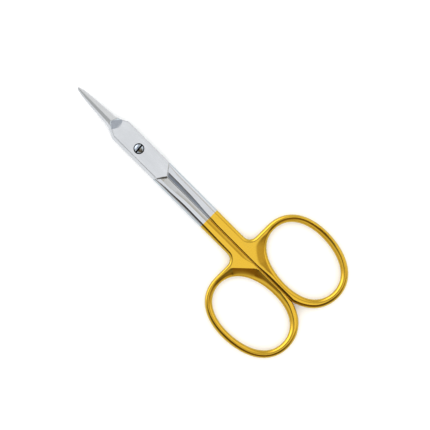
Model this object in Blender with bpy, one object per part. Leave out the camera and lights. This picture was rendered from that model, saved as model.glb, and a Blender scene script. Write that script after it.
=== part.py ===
"""Nail scissors: two lapped halves and the slotted screw that they turn on.

The pivot axis is +Z through the origin. +Y runs to the tips, and the back of the joint lies on z = 0.
"""

import math

import bmesh
import bpy
from mathutils import Matrix, Vector

mm = 0.001

# Joint
joint_width = 6.4 * mm
joint_thickness = 3.2 * mm
blade_gap = 0.1 * mm
split_gap = 0.1 * mm
plate_step = 0.75 * mm
plate_front = 7.2 * mm
plate_chamfer = 0.16 * mm
shoulder_side = 8.6 * mm
shoulder_point = 11.0 * mm
shoulder_clearance = 0.12 * mm
shoulder_setback = 0.12 * mm

# Blades
tip_reach = 23.4 * mm
tip_offset = 0.12 * mm
blade_root = 11.2 * mm
spine_root = 1.55 * mm
edge_root = 0.93 * mm
ridge_offset = 0.05 * mm
ridge_root_thickness = 1.1 * mm
ridge_tip_thickness = 0.45 * mm
facet_depth = 0.03 * mm
wheel_radius = 2.5 * mm
scoop_start = 8.2 * mm
bevel_tilt = math.radians(38)
spine_tilt = math.radians(12)
shoulder_bend_shares = (0.13, 0.6)
blade_taper_share = 0.55
nose_power = 6

# Shanks and finger rings
handle_thickness = 2.7 * mm
side_rounding = 1.0 * mm
split_rounding = 0.2 * mm
front_valley_root = 1.6 * mm
front_valley_width = 1.0 * mm
front_valley_narrows = 20 * mm
front_valley_fades = 40 * mm
back_valley_root = 1.3 * mm
back_valley_width = 0.5 * mm
back_valley_narrows = 30 * mm
back_valley_fades = 41 * mm
valley_start = 17 * mm
valley_end = 45.5 * mm
valley_tilt = math.radians(14)
ring_back = 52.9 * mm
hole_width = 16 * mm
hole_length = 23.3 * mm
ring_wire = 2.05 * mm
ring_flat = 0.5 * mm
ring_lean = math.radians(4)
neck_radius = 2.3 * mm
web_rounding = 2.6 * mm
web_power = 4
plating_line = 26.7 * mm

# Pivot screw
head_diameter = 2.9 * mm
head_sink = 0.45 * mm
head_rim = 0.06 * mm
head_dome = 0.34 * mm
slot_width = 0.36 * mm
slot_depth = 0.42 * mm
slot_turn = math.radians(5)
bearing_diameter = 2.0 * mm
thread_diameter = 1.6 * mm
tail_chamfer = 0.15 * mm
running_clearance = 0.04 * mm
seat_clearance = 0.08 * mm

# How finely round stretches are stepped
ring_steps = 64
neck_steps = 6
fade_steps = 14
rounding_steps = 6
shoulder_steps = 6
blade_steps = 14
wheel_steps = 8
turned_steps = 48

# How much of the half thickness a full-round side takes, the rest being a narrow flat
full_round_share = 0.92
ring_rounding_share = 0.47

# How much further out the finger rings reach at their corners than plain ovals
ring_fullness_share = 0.032

# How far cutters run past what they cut
overrun = 1 * mm

middle = joint_thickness / 2
side = joint_width / 2
split = split_gap / 2
tongue = plate_step + shoulder_clearance + shoulder_setback


def clear_scene():
    for leftover in list(bpy.data.objects):
        bpy.data.objects.remove(leftover)


def finish(name, colour, roughness, metallic=1.0):
    material = bpy.data.materials.new(name)
    material.use_nodes = True
    shader = material.node_tree.nodes["Principled BSDF"]
    shader.inputs["Base Color"].default_value = (*colour, 1)
    shader.inputs["Roughness"].default_value = roughness
    shader.inputs["Metallic"].default_value = metallic
    material.diffuse_color = (*colour, 1)
    return material


def solid(name, mesh_builder):
    mesh = bpy.data.meshes.new(name)
    bmesh.ops.recalc_face_normals(mesh_builder, faces=mesh_builder.faces)
    mesh_builder.to_mesh(mesh)
    mesh_builder.free()
    made = bpy.data.objects.new(name, mesh)
    bpy.context.scene.collection.objects.link(made)
    return made


def combine(target, tool, operation):
    """Cuts the tool from the target, or joins it on, and removes the tool."""
    change = target.modifiers.new(operation.lower(), "BOOLEAN")
    change.operation = operation
    change.solver = "EXACT"
    change.object = tool
    graph = bpy.context.evaluated_depsgraph_get()
    changed = bpy.data.meshes.new_from_object(target.evaluated_get(graph))
    target.modifiers.clear()
    target.data = changed
    bpy.data.objects.remove(tool)


def loop_of(builder, points):
    """A closed loop of edges through these points."""
    corners = [builder.verts.new(point) for point in points]
    pairs = zip(corners, corners[1:] + corners[:1])
    return [builder.edges.new(pair) for pair in pairs]


def skin(builder, loops):
    for lower, upper in zip(loops, loops[1:]):
        bmesh.ops.bridge_loops(builder, edges=lower + upper)


def loft(name, sections):
    """A solid through sections that have the same number of points."""
    builder = bmesh.new()
    loops = [loop_of(builder, section) for section in sections]
    skin(builder, loops)
    for end in (loops[0], loops[-1]):
        bmesh.ops.edgeloop_fill(builder, edges=end)
    return solid(name, builder)


def prism(name, outline, low, high):
    return loft(name, [[(x, y, z) for x, y in outline] for z in (low, high)])


def smooth_share(value, start, end):
    """0 at the start and 1 at the end, with a soft run between them."""
    share = min(max((value - start) / (end - start), 0), 1)
    return share * share * (3 - 2 * share)


def between(first, last, share):
    return first + (last - first) * share


def inward(outline, index):
    """The mitred inward normal at one point of a counterclockwise outline."""
    here = outline[index]
    back = (here - outline[index - 1]).normalized()
    ahead = (outline[(index + 1) % len(outline)] - here).normalized()
    first, second = Vector((-back.y, back.x)), Vector((-ahead.y, ahead.x))
    middle_way = (first + second).normalized()
    return middle_way / middle_way.dot(first)


def rounded_wall(builder, outline, roundings):
    """A wall round the outline whose upper and lower edges are rounded. It gives back its end loops."""
    half = handle_thickness / 2
    normals = [inward(outline, index) for index in range(len(outline))]
    loops = []
    for up in (-1, 1):
        turns = [step / rounding_steps * math.pi / 2 for step in range(rounding_steps + 1)]
        for turn in reversed(turns) if up < 0 else turns:
            level = []
            for point, normal, (width, depth) in zip(outline, normals, roundings):
                moved = point + normal * width * (1 - math.cos(turn))
                height = half - depth + depth * math.sin(turn)
                level.append((moved.x, moved.y, middle + up * height))
            loops.append(loop_of(builder, level))
    skin(builder, loops)
    return loops[0], loops[-1]


def hole_centre():
    return Vector((-split - ring_wire - hole_width / 2, -ring_back))


def arc(radius, centre, start, end, steps):
    turns = [between(start, end, step / steps) for step in range(steps + 1)]
    return [
        centre + Vector((radius * math.cos(turn), radius * math.sin(turn)))
        for turn in turns
    ]


def oval(across, along, centre):
    """Counterclockwise from its right end, full at its corners, with its top leaning outwards."""
    lean = Matrix.Rotation(ring_lean, 2)
    points = []
    for step in range(ring_steps):
        turn = step / ring_steps * math.tau
        swell = 1 + ring_fullness_share * math.sin(2 * turn) ** 2
        point = Vector((across * math.cos(turn), along * math.sin(turn))) * swell
        points.append(centre + lean @ point)
    return points


def shoulder_line(x, shift):
    """How far along the V shoulder lies at this distance from the split, moved forward by the shift."""
    slope = (shoulder_point - shoulder_side) / side
    return -shoulder_point + slope * abs(x) + shift * math.hypot(1, slope)


def handle_outline():
    """Counterclockwise: down the outer side, round the finger ring and up the split."""
    centre = hole_centre() + Vector((ring_flat / 2, 0))
    across = hole_width / 2 + ring_wire + ring_flat / 2
    ring = oval(across, hole_length / 2 + ring_wire, centre)
    highest = max(range(ring_steps), key=lambda index: ring[index].y)
    ring = ring[highest:]
    neck = Vector((-side - neck_radius, ring[0].y + neck_radius))
    ends = next(i for i, point in enumerate(ring) if i and point.x > -split)
    before, after = ring[ends - 1], ring[ends]
    meets = before.lerp(after, (-split - before.x) / (after.x - before.x))
    tongue_side = -side + tongue
    points = [
        Vector((-split, -plate_front)),
        Vector((tongue_side, -plate_front)),
        Vector((tongue_side, shoulder_line(tongue_side, shoulder_setback))),
        Vector((-side, shoulder_line(side, shoulder_setback))),
    ]
    points += arc(neck_radius, neck, 0, -math.pi / 2, neck_steps)
    points += [*ring[:ends], meets]
    low, high = meets.y, -valley_end
    points += [
        Vector((-split, between(low, high, step / fade_steps)))
        for step in range(1, fade_steps + 1)
    ]
    return points


def handle_roundings(outline):
    """Full-round along the outer side and the ring, fading to a small edge up the split."""
    full = full_round_share * handle_thickness / 2
    start, end = -ring_back, -valley_end
    found = []
    for index, point in enumerate(outline):
        if index < 3:
            found.append((split_rounding, split_rounding))
        elif index < 5 + neck_steps:
            found.append((side_rounding, full))
        elif point.x < -split * 2:
            found.append((ring_rounding_share * ring_wire, full))
        else:
            share = smooth_share(point.y, start, end)
            width = between(ring_rounding_share * ring_wire, split_rounding, share)
            found.append((width, between(full, split_rounding, share)))
    return found


def hole_roundings():
    """Each side of the finger hole is full-round, and wider where the web joins the shank."""
    full = full_round_share * handle_thickness / 2
    narrow = ring_rounding_share * ring_wire
    found = []
    for step in range(ring_steps):
        turn = step / ring_steps * math.tau
        swell = math.sin(2 * turn) ** web_power if turn < math.pi / 2 else 0
        found.append((between(narrow, web_rounding, swell), full))
    return found


def handle_blank(name):
    builder = bmesh.new()
    outline = handle_outline()
    ends = rounded_wall(builder, outline, handle_roundings(outline))
    hole = oval(hole_width / 2, hole_length / 2, hole_centre())
    # The hole's metal lies outside it, so its outline is taken the other way round.
    hole_ends = rounded_wall(builder, hole[::-1], hole_roundings()[::-1])
    for outer, inner in zip(ends, hole_ends):
        bmesh.ops.triangle_fill(builder, edges=outer + inner, use_beauty=True)
    return solid(name, builder)


def front_valley():
    """How wide the facet beside the split is, at distances behind the pivot."""
    return (
        (plate_front, front_valley_root),
        (front_valley_narrows, front_valley_width),
        (front_valley_fades, front_valley_width),
        (valley_end, 0),
    )


def back_valley():
    return (
        (plate_front, back_valley_root),
        (valley_start, back_valley_root),
        (back_valley_narrows, back_valley_width),
        (back_valley_fades, back_valley_width),
        (valley_end, 0),
    )


def cut_valley(half, stations):
    """A shallow facet beside the split on each face, fading out in the web."""
    slope = math.tan(valley_tilt)
    for up in (-1, 1):
        top = handle_thickness / 2
        sections = []
        for back, width in stations:
            corners = (
                (-width, top),
                (overrun, top - (width + overrun) * slope),
                (overrun, top + overrun),
                (-width, top + overrun),
            )
            sections.append([(x, -back, middle + up * z) for x, z in corners])
        combine(half, loft("valley", sections), "DIFFERENCE")


def cut_lap(half):
    """Room for the other half's plate, up to the V shoulder."""
    outer, inner = -side - overrun, overrun
    outline = [
        (inner, 0),
        (outer, 0),
        (outer, shoulder_line(outer, 0)),
        (0, shoulder_line(0, 0)),
        (inner, shoulder_line(0, 0) - (shoulder_line(inner, 0) - shoulder_line(0, 0))),
    ]
    lap = middle + blade_gap / 2 + running_clearance
    combine(half, prism("lap", outline, -overrun, lap), "DIFFERENCE")


def blade_side(share, root):
    """How far out one side of the blade is, at this share of the way to the tip."""
    taper = (1 - blade_taper_share * share) * math.sqrt(1 - share**nose_power)
    return tip_offset + (root - tip_offset) * taper


def shoulder_curve(plate_side, root):
    """From the plate's front corner to the root of the blade."""
    across_share, along_share = shoulder_bend_shares
    ends = Vector((plate_side, plate_front)), Vector((root, blade_root))
    bend = Vector(
        (
            between(root, plate_side, across_share),
            between(plate_front, blade_root, along_share),
        )
    )
    shares = [step / shoulder_steps for step in range(shoulder_steps)]
    return [
        ends[0].lerp(bend, share).lerp(bend.lerp(ends[1], share), share)
        for share in shares
    ]


def plate_outline():
    """Counterclockwise: from the V point up the spine side to the tip, and down the cutting edge."""
    slope = (shoulder_point - shoulder_side) / side
    lean = math.hypot(1, slope)
    point_x = -(shoulder_setback + shoulder_clearance) * lean / slope / 2
    point_y = -shoulder_point + (shoulder_clearance - shoulder_setback) * lean / 2
    inner_side = -side + plate_step
    shares = [step / blade_steps for step in range(blade_steps)]
    reach = tip_reach - blade_root
    spine = [(blade_side(s, spine_root), blade_root + reach * s) for s in shares]
    edge = [(blade_side(s, -edge_root), blade_root + reach * s) for s in shares]
    return [
        (point_x, point_y),
        (side, shoulder_line(side, shoulder_clearance)),
        *shoulder_curve(side, spine_root),
        *spine,
        (tip_offset, tip_reach),
        *reversed(edge),
        *reversed(shoulder_curve(inner_side, -edge_root)),
        (inner_side, shoulder_line(inner_side, -shoulder_setback)),
    ]


def plate_blank(name):
    """The flat plate and blade, with the upper edge chamfered."""
    made = prism(name, plate_outline(), middle + blade_gap / 2, joint_thickness)
    builder = bmesh.new()
    builder.from_mesh(made.data)
    top = [
        edge
        for edge in builder.edges
        if all(corner.co.z > middle + blade_gap for corner in edge.verts)
    ]
    bmesh.ops.bevel(
        builder,
        geom=top,
        offset=plate_chamfer,
        offset_type="OFFSET",
        affect="EDGES",
        segments=1,
        profile=0.5,
        material=-1,
    )
    builder.to_mesh(made.data)
    builder.free()
    return made


def ridge_frame(tilt, depth):
    """Origin at the ridge's root, Y along the ridge, Z out of a face that is tilted about it."""
    floor = middle + blade_gap / 2 - depth
    root = Vector((ridge_offset, blade_root, floor + ridge_root_thickness))
    tip = Vector((tip_offset, tip_reach, floor + ridge_tip_thickness))
    along = (tip - root).normalized()
    out = Matrix.Rotation(tilt, 3, along) @ Vector((0, 0, 1))
    out = (out - along * out.dot(along)).normalized()
    across = along.cross(out)
    return Matrix.Translation(root) @ Matrix((across, along, out)).transposed().to_4x4()


def grind(half, tilt, depth, radius, turn):
    """Cuts away what lies above a tilted face, with the round end that the wheel leaves."""
    reach = tip_reach - blade_root + overrun
    arc = [step / wheel_steps * turn for step in range(wheel_steps + 1)]
    profile = [(-radius * math.sin(a), radius * (1 - math.cos(a))) for a in arc]
    lift = joint_thickness + overrun
    profile = [(reach, 0), *profile, (profile[-1][0] - lift, lift), (reach, lift)]
    wheel = loft(
        "wheel", [[(x, y, z) for y, z in profile] for x in (-joint_width, joint_width)]
    )
    wheel.matrix_world = ridge_frame(tilt, depth)
    combine(half, wheel, "DIFFERENCE")


def scoop_radius():
    """The round run-out that ends level with the plate's face, where the scoop starts."""
    fall = (ridge_root_thickness - ridge_tip_thickness) / (tip_reach - blade_root)
    run = blade_root - scoop_start
    rise = middle - blade_gap / 2 - ridge_root_thickness - run * fall
    return run**2 / (2 * rise)


def drill(half, diameter, low, high):
    builder = bmesh.new()
    bmesh.ops.create_cone(
        builder,
        cap_ends=True,
        segments=turned_steps,
        radius1=diameter / 2,
        radius2=diameter / 2,
        depth=high - low,
        matrix=Matrix.Translation((0, 0, (low + high) / 2)),
    )
    combine(half, solid("drill", builder), "DIFFERENCE")


def blank_half(name, valley):
    """One half as it lies in front, before its pivot hole is drilled."""
    half = handle_blank(name)
    cut_valley(half, valley)
    cut_lap(half)
    plate = plate_blank("plate")
    radius = scoop_radius()
    grind(plate, 0, 0, radius, math.asin((blade_root - scoop_start) / radius))
    grind(plate, -bevel_tilt, facet_depth, wheel_radius, math.pi / 3)
    grind(plate, spine_tilt, facet_depth, wheel_radius, math.pi / 3)
    combine(half, plate, "UNION")
    return half


def plate_handle(half, steel, gold):
    """Steel up to the plating line and gold behind it."""
    builder = bmesh.new()
    builder.from_mesh(half.data)
    bmesh.ops.bisect_plane(
        builder,
        geom=builder.verts[:] + builder.edges[:] + builder.faces[:],
        dist=running_clearance / 100,
        plane_co=(0, -plating_line, 0),
        plane_no=(0, 1, 0),
    )
    for face in builder.faces:
        face.material_index = int(face.calc_center_median().y < -plating_line)
    builder.to_mesh(half.data)
    builder.free()
    half.data.materials.clear()
    half.data.materials.append(steel)
    half.data.materials.append(gold)
    half.data.shade_smooth()
    half.data.set_sharp_from_angle(angle=math.radians(25))


def front_half(steel, gold):
    half = blank_half("front_half", front_valley())
    drill(half, bearing_diameter + 2 * running_clearance, 0, joint_thickness + overrun)
    seat = joint_thickness - head_sink
    drill(half, head_diameter + 2 * seat_clearance, seat, joint_thickness + overrun)
    plate_handle(half, steel, gold)
    return half


def back_half(steel, gold):
    """The same forging turned over, so that its blade lies behind."""
    half = blank_half("back_half", back_valley())
    turned = Matrix.Translation((0, 0, joint_thickness)) @ Matrix.Rotation(
        math.pi, 4, "Y"
    )
    half.data.transform(turned)
    drill(half, thread_diameter + 2 * running_clearance, -overrun, middle)
    plate_handle(half, steel, gold)
    return half


def dome(radius, low, high, steps):
    """From the rim of a domed head in to its crown."""
    rise = high - low
    sphere = (radius**2 + rise**2) / (2 * rise)
    full = math.asin(radius / sphere)
    turns = [full * (1 - step / steps) for step in range(steps + 1)]
    return [
        (sphere * math.sin(turn), high - sphere * (1 - math.cos(turn)))
        for turn in turns
    ]


def pivot_screw(steel):
    seat = joint_thickness - head_sink + running_clearance
    shoulder = middle - blade_gap / 2
    thread = thread_diameter / 2
    head = head_diameter / 2
    rim = joint_thickness + head_rim
    profile = [
        (0, 0),
        (thread - tail_chamfer, 0),
        (thread, tail_chamfer),
        (thread, shoulder + running_clearance),
        (bearing_diameter / 2, shoulder + running_clearance),
        (bearing_diameter / 2, seat),
        (head, seat),
        *dome(head, rim, joint_thickness + head_dome, rounding_steps),
    ]
    builder = bmesh.new()
    corners = [builder.verts.new((x, 0, z)) for x, z in profile]
    edges = [builder.edges.new(pair) for pair in zip(corners, corners[1:])]
    bmesh.ops.spin(
        builder,
        geom=edges,
        cent=(0, 0, 0),
        axis=(0, 0, 1),
        angle=math.tau,
        steps=turned_steps,
        use_merge=True,
    )
    bmesh.ops.remove_doubles(
        builder, verts=builder.verts, dist=running_clearance / 100
    )
    screw = solid("pivot_screw", builder)
    top = joint_thickness + head_dome
    half_slot = slot_width / 2
    outline = [
        (-head_diameter, -half_slot),
        (head_diameter, -half_slot),
        (head_diameter, half_slot),
        (-head_diameter, half_slot),
    ]
    slot = prism("slot", outline, top - slot_depth, top + overrun)
    slot.matrix_world = Matrix.Rotation(slot_turn, 4, "Z")
    combine(screw, slot, "DIFFERENCE")
    screw.data.materials.clear()
    screw.data.materials.append(steel)
    screw.data.shade_smooth()
    screw.data.set_sharp_from_angle(angle=math.radians(25))
    return screw


clear_scene()
polished_steel = finish("polished steel", (0.62, 0.63, 0.65), 0.16)
gold_plate = finish("gold plate", (0.86, 0.53, 0.12), 0.14)
dark_steel = finish("blackened screw steel", (0.42, 0.43, 0.45), 0.2)
front_half(polished_steel, gold_plate)
back_half(polished_steel, gold_plate)
pivot_screw(dark_steel)
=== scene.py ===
import math

import bmesh
import bpy
from mathutils import Matrix, Vector
from mathutils.geometry import intersect_line_line_2d


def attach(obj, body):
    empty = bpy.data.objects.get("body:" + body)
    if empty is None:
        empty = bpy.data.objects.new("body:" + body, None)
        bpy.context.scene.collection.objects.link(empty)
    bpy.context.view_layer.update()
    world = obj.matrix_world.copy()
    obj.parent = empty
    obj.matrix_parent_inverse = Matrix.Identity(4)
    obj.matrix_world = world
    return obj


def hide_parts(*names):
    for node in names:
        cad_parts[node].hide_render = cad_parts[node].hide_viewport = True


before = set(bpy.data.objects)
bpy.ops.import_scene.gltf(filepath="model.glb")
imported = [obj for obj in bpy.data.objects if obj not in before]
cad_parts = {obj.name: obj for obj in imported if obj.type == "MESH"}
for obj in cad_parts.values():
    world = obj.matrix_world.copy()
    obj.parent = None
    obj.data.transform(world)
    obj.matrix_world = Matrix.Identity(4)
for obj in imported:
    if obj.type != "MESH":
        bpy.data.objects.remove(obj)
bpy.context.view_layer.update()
print("frame loaded:", ", ".join(sorted(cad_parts)))

# Shapes are modelled in millimetres, +Y to the tips and +Z out of the screw head, and scaled at the end. In all
# values, lengths are in millimetres and angles in degrees.
mm = 0.001
joinWithin = 0.001  # points that are closer than this are one
nearby = 0.01  # for asking which surface a point lies on
overrun = 1  # how far a cutter reaches past what it cuts


def linearColour(hexCode):
    # an sRGB hex value as the linear colour that nodes take
    channels = [int(hexCode[place:place + 2], 16) / 255 for place in (1, 3, 5)]
    linear = [c / 12.92 if c <= 0.04045 else ((c + 0.055) / 1.055) ** 2.4 for c in channels]
    return (*linear, 1)


def addNode(tree, kind, settings=None, links=None):
    # settings go to inputs by name or number, or else to the node's own options
    node = tree.nodes.new(kind)
    for name, value in (settings or {}).items():
        if isinstance(name, str) and hasattr(node, name) and name not in node.inputs:
            setattr(node, name, value)
        else:
            node.inputs[name].default_value = value
    for name, source in (links or {}).items():
        tree.links.new(source, node.inputs[name])
    return node


def blend(first, last, share):
    return first + (last - first) * share


def smoothShare(value, start, end):
    share = min(max((value - start) / (end - start), 0), 1)
    return share * share * (3 - 2 * share)


def stationValue(stations, here):
    # a value from a table of (place, value), eased from each place to the next and level beyond them
    for (start, first), (end, last) in zip(stations, stations[1:]):
        if here < end:
            return blend(first, last, smoothShare(here, start, end))
    return stations[-1][1]


# What the two halves share. Each is modelled as the front one: its shank and ring on the left, its blade on the right.
halfShape = {
    "jointWidth": 6.4,
    "jointThickness": 3.2,
    "bladeGap": 0.1,
    "splitGap": 0.02,
    "plateStep": 0.75,  # how far the plate stops short of its own shank's side
    "plateFront": 7.2,
    "plateEdge": 0.18,
    "plateEdgeSteps": 8,
    "chamferWidth": 0.5,
    "chamferTilt": 6,
    "shoulderSide": 8.6,
    "shoulderPoint": 11.0,
    "shoulderClearance": 0.12,  # from the V shoulder to the other half's plate
    "shoulderSetback": 0.12,  # how far its own plate lies behind the V shoulder, and its shank ahead of it
    "groundFrom": 0.15,  # the belt's grinding starts this far past the V shoulder
    "runningClearance": 0.04,
    "handleThickness": 2.7,
    "fullRound": 0.92,  # of half the thickness
    "tongueEdge": 0.1,
    "splitEdge": 0.2,
    "sideDepth": 1.15,
    "sideTilt": 8,
    "creaseSoft": 0.035,
    "crestFlat": 0.05,
    "webTilt": 3.4,
    "webSoft": 0.9,
    "ringBack": 52.9,
    "holeWidth": 16,
    "holeLength": 23.3,
    "ringWire": 2.05,
    "ringFlat": 0.5,
    "ringLean": 4,
    "ringFullness": 0.032,
    "neckRadius": 2.3,
    "platingLine": 26.7,
    "roundSteps": 14,
    "ringSteps": 176,
    "neckSteps": 16,
    "searchSteps": 2000,
    "stationStep": 0.8,
    "drilledSteps": 96,
}
# Where a hand on the polishing wheel left each half a little different. Places along the shank are millimetres behind
# the pivot. Those round the ring and its hole are degrees: 0 at the split, 90 at the top and 180 at the outer side.
frontDetail = {
    "sideRounding": [(8.6, 0.6), (13, 0.65), (20, 0.76), (34, 0.6), (39, 0.6)],
    "sideFacet": [(8.6, 0.6), (13, 0.9), (20, 1.17), (27, 1.08), (34, 0.92), (39, 0.85)],  # how far in it ends
    "splitRound": [(56, 0), (59, 1)],  # 0 is a small edge, 1 is full-round
    "ringOuter": [(90, 0.68), (135, 0.5), (180, 0.55), (225, 0.45), (270, 0.45), (315, 0.55), (345, 0.2)],
    "ringFacet": [(90, 0), (125, 0.3), (180, 0.42), (225, 0.34), (270, 0.34), (292, 0.3), (312, 0)],
    "holeEdge": [
        (-90, 1.22), (-45, 1.3), (-20, 1.6), (0, 1.95), (30, 3.2), (75, 3.2), (90, 1.3), (135, 1.2), (180, 1.0),
        (225, 1.2), (270, 1.22),
    ],
    "holeFacet": [(-90, 0)],
    "valley": [(7, 1.6), (12, 1.6), (20, 1.05), (40, 1.0), (45.5, 0)],  # how far in it ends
    "valleyTilt": [(7, 14)],
    "webLine": ((-5.33, -40.2), (-0.22, -45.6)),  # the web's flat ends on this line
    "webCrease": 0.28,  # the slope at which the hole's rounding meets that flat
    "webCreaseStart": (-0.02, 0.13),  # shares of the line over which it begins
    "ringCrease": [(-50, 0), (-20, 0.1), (0, 0.19), (22, 0.22), (34, 0.22), (44, 0)],
    "pivotHole": 2.08,
    "headSeat": 2.92,
}
backDetail = {
    "sideRounding": [(8.6, 0.6), (13, 0.95), (30, 1.0), (39, 0.95)],
    "sideFacet": [(8.6, 0)],
    "splitRound": [(56.5, 0), (60, 1)],
    "ringOuter": [(90, 1.0), (112, 0.85), (135, 0.6), (180, 0.55), (225, 0.75), (270, 0.55), (315, 0.45), (345, 0.25)],
    "ringFacet": [(235, 0), (265, 0.3), (300, 0.42), (345, 0.5)],
    "holeEdge": [
        (-90, 1.12), (-45, 1.05), (-20, 1.1), (0, 1.05), (30, 1.0), (60, 0.9), (90, 1.0), (112, 1.15), (135, 1.4),
        (180, 1.45), (225, 1.25), (270, 1.12),
    ],
    "holeFacet": [(-90, 0), (8, 0), (34, 2.4), (50, 2.4), (76, 0), (140, 0), (160, 0.2), (180, 0.3), (200, 0)],
    "valley": [
        (7, 1.14), (14, 1.14), (18, 1.06), (27, 0.56), (30, 0.42), (44, 0.4), (50, 0.72), (56, 0.75), (60, 0.72),
    ],
    "valleyTilt": [(26, 14), (30, 8.5)],
    "webLine": None,
    "ringCrease": [(-90, 0)],
    "pivotHole": 1.68,
    "headSeat": None,
}
middle = halfShape["jointThickness"] / 2
side = halfShape["jointWidth"] / 2
split = halfShape["splitGap"] / 2


def allOf(bm):
    return bm.verts[:] + bm.edges[:] + bm.faces[:]


def placeLayer(bm):
    # numbers that vertices keep when they are extruded, so that they can be placed again
    return bm.verts.layers.int.get("place") or bm.verts.layers.int.new("place")


def loopFrom(bm, points):
    # a closed loop of edges with numbered vertices
    place = placeLayer(bm)
    corners = [bm.verts.new((*point[:2], 0)) for point in points]
    for number, corner in enumerate(corners):
        corner[place] = number
    return [bm.edges.new(pair) for pair in zip(corners, corners[1:] + corners[:1])]


def objectFrom(name, bm):
    bmesh.ops.recalc_face_normals(bm, faces=bm.faces)
    mesh = bpy.data.meshes.new(name)
    bm.to_mesh(mesh)
    bm.free()
    made = bpy.data.objects.new(name, mesh)
    bpy.context.scene.collection.objects.link(made)
    return made


def combine(target, tool, operation):
    # an applied Boolean, after which the tool is gone
    change = target.modifiers.new(operation.lower(), "BOOLEAN")
    change.operation = operation
    change.solver = "EXACT"
    change.object = tool
    changed = bpy.data.meshes.new_from_object(target.evaluated_get(bpy.context.evaluated_depsgraph_get()))
    target.modifiers.clear()
    target.data = changed
    bpy.data.objects.remove(tool)


def slab(name, outline, low, high, turned=None):
    # an outline extruded from low to high along Z, then turned into place
    bm = bmesh.new()
    edges = loopFrom(bm, outline)
    bottom = bmesh.ops.edgeloop_fill(bm, edges=edges)["faces"]
    bmesh.ops.translate(bm, verts=bm.verts, vec=(0, 0, low))
    grown = bmesh.ops.extrude_face_region(bm, geom=bottom, use_keep_orig=True)["geom"]
    upper = [part for part in grown if isinstance(part, bmesh.types.BMVert)]
    bmesh.ops.translate(bm, verts=upper, vec=(0, 0, high - low))
    bmesh.ops.transform(bm, matrix=turned or Matrix.Identity(4), verts=bm.verts)
    return objectFrom(name, bm)


def shoulderLine(x, shift):
    # how far along the V shoulder lies at this distance from the split
    slope = (halfShape["shoulderPoint"] - halfShape["shoulderSide"]) / side
    return -halfShape["shoulderPoint"] + slope * abs(x) + shift * math.hypot(1, slope)


def ringPoint(across, along, centre, turn):
    # a leaning oval, a little fuller at its corners
    fuller = 1 + halfShape["ringFullness"] * math.sin(2 * turn) ** 2
    flat = Vector((across * math.cos(turn), along * math.sin(turn))) * fuller
    return centre + Matrix.Rotation(math.radians(halfShape["ringLean"]), 2) @ flat


def evenRun(first, last, longest):
    # points from first up to, but not including, last
    steps = max(1, math.ceil((last - first).length / longest))
    return [first.lerp(last, step / steps) for step in range(steps)]


def holeCentre():
    return Vector((-split - halfShape["ringWire"] - halfShape["holeWidth"] / 2, -halfShape["ringBack"]))


def holePoints():
    steps = halfShape["ringSteps"]
    across, along = halfShape["holeWidth"] / 2, halfShape["holeLength"] / 2
    return [ringPoint(across, along, holeCentre(), step / steps * math.tau) for step in range(steps)]


def outlinePoints():
    # counterclockwise down the outer side, round the finger ring and up the split, each point with what it belongs to
    s = halfShape
    centre = holeCentre() + Vector((s["ringFlat"] / 2, 0))
    across = s["holeWidth"] / 2 + s["ringWire"] + s["ringFlat"] / 2
    along = s["holeLength"] / 2 + s["ringWire"]
    steps = s["searchSteps"]
    fine = [math.pi / 2 + step / steps * math.pi * 1.5 for step in range(-steps // 5, steps)]
    top = max(fine, key=lambda turn: ringPoint(across, along, centre, turn).y)
    end = next(turn for turn in fine if turn > math.pi and ringPoint(across, along, centre, turn).x > -split)
    ring = [ringPoint(across, along, centre, blend(top, end, step / s["ringSteps"])) for step in range(s["ringSteps"])]
    neckCentre = Vector((-side - s["neckRadius"], ring[0].y + s["neckRadius"]))
    turns = [-step / s["neckSteps"] * math.pi / 2 for step in range(s["neckSteps"])]
    neck = [neckCentre + Vector((math.cos(turn), math.sin(turn))) * s["neckRadius"] for turn in turns]
    neckEnd = neckCentre - Vector((0, s["neckRadius"]))
    tongueSide = -side + s["plateStep"] + s["shoulderClearance"] + s["shoulderSetback"]
    tongue = [
        Vector((-split, -s["plateFront"])),
        Vector((tongueSide, -s["plateFront"])),
        Vector((tongueSide, shoulderLine(tongueSide, s["shoulderSetback"]))),
    ]
    shoulder = Vector((-side, shoulderLine(side, s["shoulderSetback"])))
    parting = Vector((-split, ringPoint(across, along, centre, end).y))
    outline = [(point, "tongue") for point in tongue]
    outline += [(point, "side") for point in evenRun(shoulder, neck[0], s["stationStep"])]
    outline += [(point, "side") for point in neck]
    outline += [(point, "ring") for point in evenRun(neckEnd, ring[0], s["stationStep"]) + ring[1:]]
    outline += [(point, "split") for point in evenRun(parting, tongue[0], s["stationStep"] / 2)]
    return outline


def inwardNormals(points):
    # the mitred normal to the left of each point of a closed outline
    normals = []
    for index, here in enumerate(points):
        back = (here - points[index - 1]).normalized()
        ahead = (points[(index + 1) % len(points)] - here).normalized()
        first, second = Vector((-back.y, back.x)), Vector((-ahead.y, ahead.x))
        mitre = (first + second).normalized()
        normals.append(mitre / mitre.dot(first))
    return normals


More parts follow.
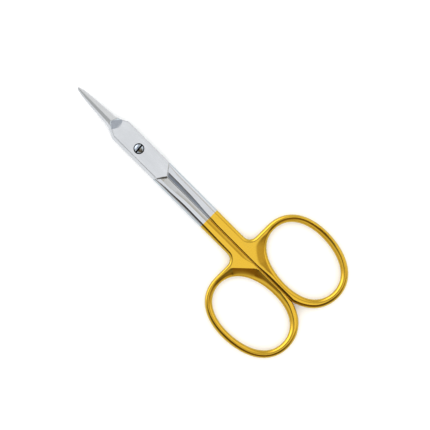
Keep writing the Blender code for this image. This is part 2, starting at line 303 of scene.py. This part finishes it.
def edgeProfile(width, depth, facetEnd=0, creaseSlope=0, tilt=0, soft=halfShape["creaseSoft"]):
    # (inset, height) from the middle of the wall to the flat face, over a rounding and a tilted facet
    half = halfShape["handleThickness"] / 2
    steps = halfShape["roundSteps"]
    slope = math.tan(math.radians(tilt))
    facet = max(facetEnd - width, 0)
    top = half - facet * slope
    # the rounding is a quarter of an oval, stopped where it is as steep as what follows
    endSlope = slope * min(facet / soft, 1) if facet else creaseSlope
    mostLean = 0.45  # no oval fits past a half
    lean = min(endSlope * width / depth, mostLean)
    endTurn = math.acos(lean / (1 - lean))
    levels = [(0, 0)]
    for step in range(steps + 1):
        turn = endTurn * step / steps
        levels.append((
            width * (1 - math.cos(turn)) / (1 - math.cos(endTurn)),
            top - depth + depth * math.sin(turn) / math.sin(endTurn),
        ))
    spread = min(soft, facet / 2)
    levels.append((width + facet - spread, top + (facet - spread) * slope))
    levels.append((width + facet + min(spread, halfShape["creaseSoft"]), half))
    return levels


def ringAngle(point):
    # degrees round the ring, 0 at the split side, 90 at the top and 180 at the outer side
    away = point - holeCentre()
    across, along = halfShape["holeWidth"], halfShape["holeLength"]
    return math.degrees(math.atan2(away.y / along, away.x / across)) % 360


def ringShare(point):
    # 0 on the shank's side and 1 on the finger ring
    return smoothShare(-point.x, side + halfShape["neckRadius"], side + 3 * halfShape["neckRadius"])


def outerProfiles(outline, detail):
    s = halfShape
    full = s["fullRound"] * s["handleThickness"] / 2
    found = []
    for point, part in outline:
        back = -point.y
        if part == "tongue":
            found.append(edgeProfile(s["tongueEdge"], s["tongueEdge"]))
        elif part == "side":
            width = stationValue(detail["sideRounding"], back)
            facetEnd = stationValue(detail["sideFacet"], back)
            found.append(edgeProfile(width, s["sideDepth"], facetEnd, tilt=s["sideTilt"]))
        elif part == "ring":
            onRing = ringShare(point) if back < s["ringBack"] else 1
            width = blend(detail["sideRounding"][-1][1], stationValue(detail["ringOuter"], ringAngle(point)), onRing)
            onRingEnd = width + stationValue(detail["ringFacet"], ringAngle(point))
            facetEnd = blend(max(detail["sideFacet"][-1][1], width), onRingEnd, onRing)
            found.append(edgeProfile(width, blend(s["sideDepth"], full, onRing), facetEnd, tilt=s["sideTilt"]))
        else:
            share = stationValue(detail["splitRound"], back)
            width = blend(s["splitEdge"], detail["ringOuter"][-1][1], share)
            depth = blend(s["splitEdge"], full, share)
            valley, tilt = stationValue(detail["valley"], back), stationValue(detail["valleyTilt"], back)
            found.append(edgeProfile(width, depth, valley, tilt=tilt))
    return found


def roomTo(rim, point, normal):
    # how far it is from here, straight across the steel, to where the outer rounding ends
    far = point + normal * halfShape["holeLength"]
    met = [intersect_line_line_2d(point, far, *ends) for ends in zip(rim, rim[1:] + rim[:1])]
    return min((place - point).length for place in met if place)


def toWebLine(point, normal, webLine):
    # how far it is from here to the line that ends the web's flat, and which share of that line it meets
    start, end = (Vector(corner) for corner in webLine)
    along = (end - start).normalized()
    across = Vector((-along.y, along.x))
    leastFacing = 0.3  # where the hole's side turns away from the line, the way there stays short
    reach = (start - point).dot(across) / max(normal.dot(across), leastFacing)
    return reach, (point + normal * reach - start).dot(along) / (end - start).length


def holeProfiles(points, normals, rim, detail):
    # full-round, up to the crest of the wire, or on the web to where its flat starts
    full = halfShape["fullRound"] * halfShape["handleThickness"] / 2
    found = []
    for number, (point, normal) in enumerate(zip(points, normals)):
        turn = math.degrees(math.remainder(number / len(points) * math.tau, math.tau))
        if turn < detail["holeEdge"][0][0]:  # the tables run once round from here
            turn += 360
        room = roomTo(rim, point, normal) - halfShape["crestFlat"]
        width = min(stationValue(detail["holeEdge"], turn), room)
        crease = stationValue(detail["ringCrease"], turn)
        if detail["webLine"]:
            reach, share = toWebLine(point, normal, detail["webLine"])
            if 0 < reach < width:
                width = reach
                crease = detail["webCrease"] * smoothShare(share, *detail["webCreaseStart"])
        facetEnd = min(width + stationValue(detail["holeFacet"], turn), room)
        found.append(edgeProfile(width, full, facetEnd, crease, halfShape["webTilt"], halfShape["webSoft"]))
    return found


def raiseWall(bm, points, normals, profiles):
    # extrudes an outline level by level, each level moved in and up along its profile, and gives back the last
    place = placeLayer(bm)
    loop = loopFrom(bm, points)
    for level in range(1, len(profiles[0])):
        grown = bmesh.ops.extrude_edge_only(bm, edges=loop)["geom"]
        loop = [part for part in grown if isinstance(part, bmesh.types.BMEdge) and part.is_boundary]
        for corner in {corner for edge in loop for corner in edge.verts}:
            inset, height = profiles[corner[place]][level]
            flat = points[corner[place]] + normals[corner[place]] * inset
            corner.co = (flat.x, flat.y, height)
    return loop


def shankAndRing(name, detail):
    bm = bmesh.new()
    outline = outlinePoints()
    points = [point for point, part in outline]
    inward = inwardNormals(points)
    corner = [part for point, part in outline].index("side")
    alongShoulder = points[corner - 1] - points[corner]
    inward[corner] = alongShoulder / alongShoulder.x  # the side's rounding runs out square at the V shoulder
    profiles = outerProfiles(outline, detail)
    outer = raiseWall(bm, points, inward, profiles)
    rim = [point + normal * profile[-1][0] for point, normal, profile in zip(points, inward, profiles)]
    hole = holePoints()
    outward = [-normal for normal in inwardNormals(hole)]
    inner = raiseWall(bm, hole, outward, holeProfiles(hole, outward, rim, detail))
    bmesh.ops.triangle_fill(bm, edges=outer + inner, use_beauty=True)
    # the two faces are alike, so the lower one is the upper one's mirror image
    bmesh.ops.mirror(bm, geom=allOf(bm), axis="Z", merge_dist=joinWithin)
    bmesh.ops.remove_doubles(bm, verts=bm.verts, dist=joinWithin)
    bmesh.ops.dissolve_degenerate(bm, edges=bm.edges, dist=joinWithin)
    bmesh.ops.translate(bm, verts=bm.verts, vec=(0, 0, middle))
    return objectFrom(name, bm)


bladeShape = {
    "tipReach": 23.4,
    "tipOffset": 0.12,
    "bladeRoot": 11.2,
    "spineRoot": 1.55,
    "edgeRoot": 0.93,
    "ridgeOffset": 0.05,
    "ridgeRootThickness": 1.1,
    "ridgeTipThickness": 0.45,
    "facetDepth": 0.03,
    "wheelRadius": 0.5,
    "wheelStart": 0.3,
    "wheelSlant": 0.4,
    "wheelTurn": 60,
    "scoopStart": 7.6,
    "scoopCrown": 0.011,  # how far the scoop has risen 1 mm to the side of its middle
    "scoopMiddle": 0.7,
    "bevelTilt": 38,
    "spineTilt": 17,
    "bend": (0.13, 0.6),  # where the plate narrows to the blade, as shares across and along
    "taper": 0.55,
    "nosePower": 6,
    "bladeSteps": 40,
    "shoulderSteps": 20,
    "wheelSteps": 30,
    "crownCuts": 63,
}


def bladeSide(share, root):
    # how far across the blade's side lies, at a share of the way from its root to its tip
    b = bladeShape
    taper = (1 - b["taper"] * share) * math.sqrt(1 - share ** b["nosePower"])
    return b["tipOffset"] + (root - b["tipOffset"]) * taper


def shoulderCurve(plateSide, root):
    # from the plate's front corner to the root of the blade
    b = bladeShape
    across, along = b["bend"]
    first = Vector((plateSide, halfShape["plateFront"]))
    last = Vector((root, b["bladeRoot"]))
    bend = Vector((blend(root, plateSide, across), blend(first.y, last.y, along)))
    shares = [step / b["shoulderSteps"] for step in range(b["shoulderSteps"])]
    return [first.lerp(bend, share).lerp(bend.lerp(last, share), share) for share in shares]


def plateOutline():
    # counterclockwise from the V point, up the spine side to the tip and down the cutting edge
    s, b = halfShape, bladeShape
    slope = (s["shoulderPoint"] - s["shoulderSide"]) / side
    lean = math.hypot(1, slope)
    pointX = -(s["shoulderSetback"] + s["shoulderClearance"]) * lean / slope / 2
    pointY = -s["shoulderPoint"] + (s["shoulderClearance"] - s["shoulderSetback"]) * lean / 2
    innerSide = -side + s["plateStep"]
    reach = b["tipReach"] - b["bladeRoot"]
    shares = [math.sin(step / b["bladeSteps"] * math.pi / 2) for step in range(b["bladeSteps"])]
    spine = [(bladeSide(share, b["spineRoot"]), b["bladeRoot"] + reach * share) for share in shares]
    edge = [(bladeSide(share, -b["edgeRoot"]), b["bladeRoot"] + reach * share) for share in shares]
    return [
        (pointX, pointY),
        (side, shoulderLine(side, s["shoulderClearance"])),
        *shoulderCurve(side, b["spineRoot"]),
        *spine,
        (b["tipOffset"], b["tipReach"]),
        *reversed(edge),
        *reversed(shoulderCurve(innerSide, -b["edgeRoot"])),
        (innerSide, shoulderLine(innerSide, -s["shoulderSetback"])),
    ]


def ridgeFrame(tilt, depth):
    # origin at the ridge's root, Y along the ridge and Z out of a face that is tilted about it
    b = bladeShape
    floor = middle + halfShape["bladeGap"] / 2 - depth
    root = Vector((b["ridgeOffset"], b["bladeRoot"], floor + b["ridgeRootThickness"]))
    tip = Vector((b["tipOffset"], b["tipReach"], floor + b["ridgeTipThickness"]))
    along = (tip - root).normalized()
    out = Matrix.Rotation(math.radians(tilt), 3, along) @ Vector((0, 0, 1))
    out = (out - along * out.dot(along)).normalized()
    return Matrix.Translation(root) @ Matrix((along.cross(out), along, out)).transposed().to_4x4()


def grind(plate, tilt, depth, end, slant=0, crown=0):
    # takes off what lies above a tilted face, up to the shape that its end has; a crown leaves the face a little
    # hollow from side to side, as a wheel with a rounded rim does
    b = bladeShape
    reach, lift = b["tipReach"] - b["bladeRoot"] + overrun, halfShape["jointThickness"] + overrun
    profile = [(reach, 0), *end, (end[-1][0] - lift, lift), (reach, lift)]
    sideways = Matrix(((0, 0, 1), (1, 0, slant), (0, 1, 0))).to_4x4()
    wheel = slab("wheel", profile, -2 * side, 2 * side, ridgeFrame(tilt, depth) @ sideways)
    if crown:
        bm = bmesh.new()
        bm.from_mesh(wheel.data)
        across = [edge for edge in bm.edges if abs(edge.verts[0].co.x - edge.verts[1].co.x) > side]
        bmesh.ops.subdivide_edges(bm, edges=across, cuts=b["crownCuts"], use_grid_fill=True)
        for corner in bm.verts:
            corner.co.z += crown * (corner.co.x - b["scoopMiddle"]) ** 2
        bmesh.ops.triangulate(bm, faces=bm.faces)
        bm.to_mesh(wheel.data)
        bm.free()
    combine(plate, wheel, "DIFFERENCE")


def wheelEnd():
    # the hollow that a small wheel leaves
    b = bladeShape
    turns = [step / b["wheelSteps"] * math.radians(b["wheelTurn"]) for step in range(b["wheelSteps"] + 1)]
    radius, start = b["wheelRadius"], b["wheelStart"]
    return [(-start - radius * math.sin(turn), radius * (1 - math.cos(turn))) for turn in turns]


def scoopEnd():
    # a swell that fades into the plate's face
    s, b = halfShape, bladeShape
    fall = (b["ridgeRootThickness"] - b["ridgeTipThickness"]) / (b["tipReach"] - b["bladeRoot"])
    run = b["bladeRoot"] - b["scoopStart"]
    rise = middle - s["bladeGap"] / 2 - b["ridgeRootThickness"] - run * fall
    bend = (rise / run + fall) / run
    first = 2 * bend * run - fall
    shares = [run * step / b["wheelSteps"] for step in range(b["wheelSteps"] + 1)]
    return [(-share, first * share - bend * share**2) for share in shares]


def chamferShoulder(plate):
    # a narrow facet along the plate's rear edge, from the V point to its inner corner
    s = halfShape
    outline = plateOutline()
    point, corner = Vector(outline[0]), Vector(outline[-1])
    along = (corner - point).normalized()
    width, fall = s["chamferWidth"], math.tan(math.radians(s["chamferTilt"]))
    profile = [(width, 0), (-width, 2 * width * fall), (-width, -overrun), (width, -overrun)]
    frameOut = Matrix(((along.y, 0, along.x), (-along.x, 0, along.y), (0, -1, 0))).to_4x4()
    tool = slab("chamfer", profile, -overrun, 2 * side, Matrix.Translation((*point, s["jointThickness"])) @ frameOut)
    combine(plate, tool, "DIFFERENCE")


def plateAndBlade():
    s, b = halfShape, bladeShape
    plate = slab("plate", plateOutline(), middle + s["bladeGap"] / 2, s["jointThickness"])
    bm = bmesh.new()
    bm.from_mesh(plate.data)
    top = [edge for edge in bm.edges if all(corner.co.z > middle + s["bladeGap"] for corner in edge.verts)]
    bmesh.ops.bevel(
        bm, geom=top, offset=s["plateEdge"], offset_type="OFFSET", affect="EDGES", segments=s["plateEdgeSteps"],
        profile=0.5, material=-1,
    )
    bm.to_mesh(plate.data)
    bm.free()
    chamferShoulder(plate)
    grind(plate, 0, 0, scoopEnd(), crown=b["scoopCrown"])
    grind(plate, -b["bevelTilt"], b["facetDepth"], wheelEnd(), b["wheelSlant"])
    grind(plate, b["spineTilt"], b["facetDepth"], wheelEnd(), -b["wheelSlant"])
    return plate


def cutLap(half):
    # room for the other half's plate, up to the V shoulder
    outer, inner = -side - overrun, overrun
    outline = [
        (inner, 0),
        (outer, 0),
        (outer, shoulderLine(outer, 0)),
        (0, shoulderLine(0, 0)),
        (inner, 2 * shoulderLine(0, 0) - shoulderLine(inner, 0)),
    ]
    top = middle + halfShape["bladeGap"] / 2 + halfShape["runningClearance"]
    combine(half, slab("lap", outline, -overrun, top), "DIFFERENCE")


def drill(half, diameter, low, high):
    bm = bmesh.new()
    bmesh.ops.create_cone(
        bm, cap_ends=True, segments=halfShape["drilledSteps"], radius1=diameter / 2, radius2=diameter / 2,
        depth=high - low, matrix=Matrix.Translation((0, 0, (low + high) / 2)),
    )
    combine(half, objectFrom("drill", bm), "DIFFERENCE")


def modelHalf(name, detail, turnedOver):
    # both halves are the same forging, and the back one lies turned over
    half = shankAndRing(name, detail)
    cutLap(half)
    combine(half, plateAndBlade(), "UNION")
    thickness = halfShape["jointThickness"]
    if turnedOver:
        half.data.transform(Matrix.Translation((0, 0, thickness)) @ Matrix.Rotation(math.pi, 4, "Y"))
        drill(half, detail["pivotHole"], -overrun, middle)
    else:
        drill(half, detail["pivotHole"], 0, thickness + overrun)
        drill(half, detail["headSeat"], thickness - screwShape["headSink"], thickness + overrun)
    print("modelled", name, len(half.data.polygons), "faces")
    return half


def cutAtPlating(half, keepFront):
    # one side of the plating line, with its cut end closed
    bm = bmesh.new()
    bm.from_mesh(half.data)
    cut = bmesh.ops.bisect_plane(
        bm, geom=allOf(bm), dist=joinWithin / 10, plane_co=(0, -halfShape["platingLine"], 0), plane_no=(0, 1, 0),
        clear_inner=keepFront, clear_outer=not keepFront,
    )["geom_cut"]
    bmesh.ops.edgeloop_fill(bm, edges=[part for part in cut if isinstance(part, bmesh.types.BMEdge)])
    return bm


finishValues = {
    "sharpAngle": 11.5,  # bends gentler than this look round
    "levelNormal": 0.99999,  # a face whose normal rises more than this is level
    "levelBend": 0.5,
}


def finishPiece(name, bm, materials, chooseMaterial, body, replaced, sharpAngle=finishValues["sharpAngle"]):
    # into metres, smooth where it is round, and on to the body that carries it
    v = finishValues
    bmesh.ops.remove_doubles(bm, verts=bm.verts, dist=joinWithin / 2)
    bm.normal_update()
    # each flat as one face, so that the weighted normals leave it flat
    level = [
        edge for edge in bm.edges
        if len(edge.link_faces) == 2 and all(abs(face.normal.z) > v["levelNormal"] for face in edge.link_faces)
    ]
    bmesh.ops.dissolve_limit(bm, angle_limit=math.radians(v["levelBend"]), edges=level)
    bmesh.ops.scale(bm, verts=bm.verts, vec=(mm, mm, mm))
    piece = objectFrom(name, bm)
    for material in materials:
        piece.data.materials.append(material)
    for face in piece.data.polygons:
        face.material_index = chooseMaterial(face.center / mm)
    piece.data.shade_smooth()
    piece.data.set_sharp_from_angle(angle=math.radians(sharpAngle))
    weighted = piece.modifiers.new("weighted normals", "WEIGHTED_NORMAL")
    weighted.keep_sharp = True
    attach(piece, body)
    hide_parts(replaced)
    print("finished", name, len(piece.data.polygons), "faces")
    return piece


screwShape = {
    "headDiameter": 2.8,
    "headSink": 0.45,
    "headRim": -0.22,
    "headDome": 0.33,
    "slotWidth": 0.42,
    "slotDepth": 0.42,
    "slotTurn": 5,
    "bearingDiameter": 2.0,
    "threadDiameter": 1.6,
    "tailChamfer": 0.15,
    "edgeRound": 0.04,
    "roundedFrom": 40,  # the head's edges that bend more than this are rounded
    "roundedAbove": 0.1,  # and lie higher than this over its seat
    "sharpAngle": 30,
    "edgeSteps": 3,
    "domeSteps": 24,
    "turnedSteps": 128,
}


def modelScrew():
    # half a section spun round the pivot, with the slot cut and the head's edges rounded
    v = screwShape
    seat = halfShape["jointThickness"] - v["headSink"] + halfShape["runningClearance"]
    shoulder = middle - halfShape["bladeGap"] / 2 + halfShape["runningClearance"]
    head, thread = v["headDiameter"] / 2, v["threadDiameter"] / 2
    rise = v["headDome"] - v["headRim"]
    sphere = (head**2 + rise**2) / (2 * rise)
    full = math.asin(head / sphere)
    crown = halfShape["jointThickness"] + v["headDome"]
    turns = [full * (1 - step / v["domeSteps"]) for step in range(v["domeSteps"] + 1)]
    dome = [(sphere * math.sin(turn), crown - sphere * (1 - math.cos(turn))) for turn in turns]
    profile = [
        (0, 0), (thread - v["tailChamfer"], 0), (thread, v["tailChamfer"]), (thread, shoulder),
        (v["bearingDiameter"] / 2, shoulder), (v["bearingDiameter"] / 2, seat), (head, seat), *dome,
    ]
    bm = bmesh.new()
    corners = [bm.verts.new((x, 0, z)) for x, z in profile]
    edges = [bm.edges.new(pair) for pair in zip(corners, corners[1:])]
    bmesh.ops.spin(
        bm, geom=edges, cent=(0, 0, 0), axis=(0, 0, 1), angle=math.tau, steps=v["turnedSteps"], use_merge=True,
        use_duplicate=False,
    )
    bmesh.ops.remove_doubles(bm, verts=bm.verts, dist=joinWithin / 2)
    screw = objectFrom("screw", bm)
    reach, halfSlot = head + overrun, v["slotWidth"] / 2
    outline = [(-reach, -halfSlot), (reach, -halfSlot), (reach, halfSlot), (-reach, halfSlot)]
    turned = Matrix.Rotation(math.radians(v["slotTurn"]), 4, "Z")
    combine(screw, slab("slot", outline, crown - v["slotDepth"], crown + overrun, turned), "DIFFERENCE")
    made = bmesh.new()
    made.from_mesh(screw.data)
    bpy.data.objects.remove(screw)
    edges = [
        edge for edge in made.edges
        if edge.is_manifold and edge.calc_face_angle() > math.radians(v["roundedFrom"])
        and min(corner.co.z for corner in edge.verts) > seat + v["roundedAbove"]
        and max(corner.co.z for corner in edge.verts) > crown - v["slotDepth"] + nearby
    ]
    bmesh.ops.bevel(
        made, geom=edges, offset=v["edgeRound"], offset_type="OFFSET", affect="EDGES", segments=v["edgeSteps"],
        profile=0.5, material=-1, clamp_overlap=True,
    )
    return made


def newMaterial(name):
    material = bpy.data.materials.new(name)
    material.use_nodes = True
    return material, material.node_tree, material.node_tree.nodes["Principled BSDF"]


def stretched(tree, coordinates, sizes, **settings):
    # noise whose grains have these sizes in mm along X, Y and Z
    mapped = addNode(
        tree, "ShaderNodeMapping", {"Scale": tuple(1 / (size * mm) for size in sizes)}, {"Vector": coordinates}
    )
    return addNode(tree, "ShaderNodeTexNoise", {"Scale": 1, **settings}, {"Vector": mapped.outputs[0]}).outputs["Fac"]


def ranged(tree, source, low, high, start=0.3, end=0.7, **settings):
    # start to end is spread over low to high; without them, it is where noise mostly lies
    limits = {"From Min": start, "From Max": end, "To Min": low, "To Max": high}
    return addNode(tree, "ShaderNodeMapRange", {**limits, **settings}, {"Value": source}).outputs[0]


def mixedColour(tree, share, first, last):
    return addNode(tree, "ShaderNodeMix", {"data_type": "RGBA", 6: first, 7: last}, {0: share})


def raised(tree, source, height, beneath=None):
    # a bump of this height in mm
    links = {"Height": source}
    if beneath:
        links["Normal"] = beneath
    return addNode(tree, "ShaderNodeBump", {"Strength": 1, "Distance": height * mm}, links).outputs[0]


def bareMetal(name, cloud, dark, light):
    # a metal in soft clouds of two close colours
    material, tree, shader = newMaterial(name)
    place = addNode(tree, "ShaderNodeTexCoord").outputs["Object"]
    clouds = stretched(tree, place, cloud, Detail=2)
    colour = mixedColour(tree, ranged(tree, clouds, 0, 1), linearColour(dark), linearColour(light))
    tree.links.new(colour.outputs[2], shader.inputs["Base Color"])
    shader.inputs["Metallic"].default_value = 1
    return material, tree, shader, place, clouds


polishValues = {
    "cloud": (3.0, 7.0, 3.0),
    "wave": (5.0, 5.0, 5.0),
    "waveHeight": 0.004,
    "hair": (0.05, 5.0, 0.05),  # real hairlines are finer, and wouldn't show
    "hairHeight": 0.0003,
}


def polished(name, dark, light, roughness):
    # the wheel leaves faint waves in the surface and hairlines along it, so reflections waver a little
    v = polishValues
    material, tree, shader, place, clouds = bareMetal(name, v["cloud"], dark, light)
    waves = raised(tree, stretched(tree, place, v["wave"], Detail=1), v["waveHeight"])
    hairs = stretched(tree, place, v["hair"], Detail=3)
    tree.links.new(ranged(tree, clouds, *roughness), shader.inputs["Roughness"])
    tree.links.new(raised(tree, hairs, v["hairHeight"], waves), shader.inputs["Normal"])
    return material


satinValues = {
    "cloud": (2.5, 6.0, 2.5),
    "line": (0.06, 4.0, 0.06),  # real grinding lines are a third as wide, and wouldn't show
    "lineHeight": 0.0004,
}


def satinGround(name, dark, light, roughness):
    # fine lengthwise lines from the grinding belt spread each reflection
    v = satinValues
    material, tree, shader, place, _ = bareMetal(name, v["cloud"], dark, light)
    lines = stretched(tree, place, v["line"], Detail=4)
    tree.links.new(ranged(tree, lines, *roughness), shader.inputs["Roughness"])
    tree.links.new(raised(tree, lines, v["lineHeight"]), shader.inputs["Normal"])
    return material


# Hardened stainless steel, buffed on a cloth wheel: cold, clear reflections.
buffedSteel = polished("buffed stainless steel", "#d8dadc", "#dedfe1", (0.10, 0.16))
# The same steel, ground flat on a fine belt: pale and even, with no clear reflection.
groundSteel = satinGround("ground stainless steel", "#d9dadb", "#dfe0e1", (0.10, 0.15))
# Bright gold plating over the buffed steel: deep yellow, browner where it mirrors something dark.
goldPlate = polished("bright gold plate", "#ebc454", "#efc95b", (0.09, 0.14))
# Turned and burnished carbon steel, a little darker than the halves.
screwSteel = polished("burnished screw steel", "#c0c6ce", "#cad0d8", (0.05, 0.08))
# The screw's slot and the seat round its head, which no wheel reaches: dull, and painted dark as the shade that falls
# in these recesses.
recessShadeSteel = satinGround("dull steel with painted recess shade", "#2c2c2d", "#38383a", (0.5, 0.6))
print("materials made")


def isPlate(centre):
    return centre.y > shoulderLine(centre.x, halfShape["groundFrom"]) and abs(centre.x) <= side + nearby


# the faces of the seat round the screw head, which are painted dark as shade
def inSeat(centre, seat):
    deep = halfShape["jointThickness"] - centre.z
    return bool(seat) and centre.xy.length < seat / 2 + 2 * nearby and nearby < deep < screwShape["headSink"] + nearby


# the faces of the screw's slot, which are painted dark as shade
def inSlot(centre):
    v = screwShape
    across = Matrix.Rotation(math.radians(-v["slotTurn"]), 2) @ centre.xy
    crown = halfShape["jointThickness"] + v["headDome"]
    return abs(across.y) < v["slotWidth"] / 2 + joinWithin and centre.z > crown - v["slotDepth"] - joinWithin


def makeHalf(name, detail, turnedOver, body, node):
    half = modelHalf(name, detail, turnedOver)
    steel = cutAtPlating(half, True)
    gold = cutAtPlating(half, False)
    bpy.data.objects.remove(half)
    # the seat round the screw head gets the painted recess shade
    finishPiece(
        name + "Steel", steel, [buffedSteel, groundSteel, recessShadeSteel],
        lambda centre: 2 if inSeat(centre, detail["headSeat"]) else int(isPlate(centre)), body, node,
    )
    finishPiece(name + "Gold", gold, [goldPlate], lambda centre: 0, body, node)


makeHalf("front", frontDetail, False, "front", "front_half")
makeHalf("back", backDetail, True, "back", "back_half")
# the screw's slot gets the painted recess shade
finishPiece(
    "pivotScrew", modelScrew(), [screwSteel, recessShadeSteel], lambda centre: int(inSlot(centre)), "back", "pivot_screw",
    screwShape["sharpAngle"],
)
print("object made")


floorValues = {
    "reach": 1500,
    "drop": 0.02,  # so that no face lies in another
    "seen": "#eaeaea",
    "mirrored": "#bcc4c9",
    "roughness": 0.6,
    "glow": "#ffffff",
    "glowStrength": 0.1,
}


def paleFloor():
    v = floorValues
    bm = bmesh.new()
    bmesh.ops.create_grid(bm, x_segments=2, y_segments=2, size=v["reach"] * mm)
    bmesh.ops.translate(bm, verts=bm.verts, vec=(0, 0, -v["drop"] * mm))
    floor = objectFrom("paleFloor", bm)
    # white to the eye, but greyer where the steep sides mirror it, as if black cards stood round the scissors
    material, tree, shader = newMaterial("white acrylic sheet")
    rays = addNode(tree, "ShaderNodeLightPath").outputs["Is Glossy Ray"]
    colour = mixedColour(tree, rays, linearColour(v["seen"]), linearColour(v["mirrored"]))
    tree.links.new(colour.outputs[2], shader.inputs["Base Color"])
    shader.inputs["Roughness"].default_value = v["roughness"]
    shader.inputs["Emission Color"].default_value = linearColour(v["glow"])
    shader.inputs["Emission Strength"].default_value = v["glowStrength"]
    floor.data.materials.append(material)


# What polished metal mirrors: a white room with soft dark screens. A place is (across, along) as the slope of the
# surface that mirrors it to someone looking straight down, so 0, 0 is right overhead.
studio = {
    "plain": ("#ffffff", 1.0),  # what lights everything that isn't mirrored
    "leastRise": 0.05,  # a direction's rise plus 1 counts as no less, so that its slope stays finite
    "room": (0.47, 0.475, 0.47),
    "screens": [
        # centre, reach, softness, shade
        ((-0.12, 1.15), (0.62, 0.80), 0.30, (1.34, 1.36, 1.45)),  # the window
        ((0.80, -0.10), (0.62, 0.45), 0.30, (0.72, 0.722, 0.725)),  # a card on the right
        ((-0.88, 0.00), (0.30, 0.40), 0.30, (0.43, 0.435, 0.435)),
        ((-0.45, 0.00), (0.20, 0.30), 0.40, (0.58, 0.585, 0.585)),
        ((-0.04, -0.32), (0.31, 0.34), 0.40, (0.235, 0.19, 0.13)),
        ((0.00, -0.60), (0.12, 0.20), 0.50, (0.12, 0.10, 0.07)),
        ((0.02, -0.24), (0.10, 0.12), 0.50, (0.20, 0.20, 0.20)),
        ((-0.04, -0.04), (0.20, 0.16), 0.30, (0.065, 0.06, 0.056)),  # the dark round the lens
        ((-0.17, -0.155), (0.09, 0.09), 0.50, (0.205, 0.148, 0.08)),
        ((0.00, 0.27), (0.14, 0.08), 0.50, (0.30, 0.32, 0.36)),
        ((0.00, 0.12), (0.13, 0.09), 0.40, (0.41, 0.43, 0.465)),
        ((0.13, -0.10), (0.14, 0.13), 0.40, (0.46, 0.42, 0.34)),
        ((-0.27, -0.055), (0.10, 0.09), 0.50, (0.185, 0.135, 0.07)),
        ((-0.245, 0.03), (0.05, 0.04), 0.40, (0.27, 0.31, 0.37)),
        ((0.00, 0.00), (0.05, 0.05), 0.30, (0.745, 0.755, 0.775)),  # the card overhead
    ],
}


def makeWorld():
    world = bpy.data.worlds.new("studio")
    bpy.context.scene.world = world
    world.use_nodes = True
    tree = world.node_tree
    tree.nodes.clear()
    direction = addNode(tree, "ShaderNodeTexCoord").outputs["Generated"]
    height = addNode(tree, "ShaderNodeSeparateXYZ", links={0: direction}).outputs["Z"]
    over = addNode(tree, "ShaderNodeMath", {"operation": "ADD", 1: 1.0}, {0: height})
    over = addNode(tree, "ShaderNodeMath", {"operation": "MAXIMUM", 1: studio["leastRise"]}, {0: over.outputs[0]})
    share = addNode(tree, "ShaderNodeMath", {"operation": "DIVIDE", 0: 1.0}, {1: over.outputs[0]})
    slope = addNode(
        tree, "ShaderNodeVectorMath", {"operation": "SCALE"}, {0: direction, "Scale": share.outputs[0]}
    ).outputs[0]
    slope = addNode(tree, "ShaderNodeVectorMath", {"operation": "MULTIPLY", 1: (1, 1, 0)}, {0: slope}).outputs[0]
    mixed = None
    for centre, reach, softness, shade in studio["screens"]:
        placed = addNode(
            tree, "ShaderNodeMapping", {"vector_type": "TEXTURE", "Location": (*centre, 0), "Scale": (*reach, 1)},
            {"Vector": slope},
        )
        away = addNode(tree, "ShaderNodeVectorMath", {"operation": "LENGTH"}, {0: placed.outputs[0]}).outputs["Value"]
        inside = ranged(tree, away, 0, 1, 1 + softness, 1 - softness, interpolation_type="SMOOTHSTEP")
        mix = mixedColour(tree, inside, (*studio["room"], 1), (*shade, 1))
        if mixed:
            tree.links.new(mixed, mix.inputs[6])
        mixed = mix.outputs[2]
    rays = addNode(tree, "ShaderNodeLightPath")
    plainColour, plainLevel = studio["plain"]
    plain = addNode(tree, "ShaderNodeBackground", {"Color": linearColour(plainColour), "Strength": plainLevel})
    mirrored = addNode(tree, "ShaderNodeBackground", {"Strength": 1.0}, {"Color": mixed})
    both = addNode(
        tree, "ShaderNodeMixShader",
        links={0: rays.outputs["Is Glossy Ray"], 1: plain.outputs[0], 2: mirrored.outputs[0]},
    )
    addNode(tree, "ShaderNodeOutputWorld", links={0: both.outputs[0]})


cameraValues = {
    "aim": (1.87, -27.2),
    "distance": 1200,
    "frameWidth": 116.2,
    "turn": -45,
    "sensorWidth": 36,
    "nearest": 10,
    "farthest": 20000,
}


def makeCamera():
    v = cameraValues
    data = bpy.data.cameras.new("camera")
    data.sensor_width = v["sensorWidth"]
    data.lens = data.sensor_width * (v["distance"] - halfShape["jointThickness"]) / v["frameWidth"]
    data.clip_start, data.clip_end = v["nearest"] * mm, v["farthest"] * mm
    camera = bpy.data.objects.new("camera", data)
    bpy.context.scene.collection.objects.link(camera)
    camera.location = (v["aim"][0] * mm, v["aim"][1] * mm, v["distance"] * mm)
    camera.rotation_euler = (0, 0, math.radians(v["turn"]))
    bpy.context.scene.camera = camera


paleFloor()
makeWorld()
makeCamera()
bpy.context.scene.view_settings.view_transform = "Standard"
bpy.context.scene.view_settings.look = "High Contrast"
print("studio made")
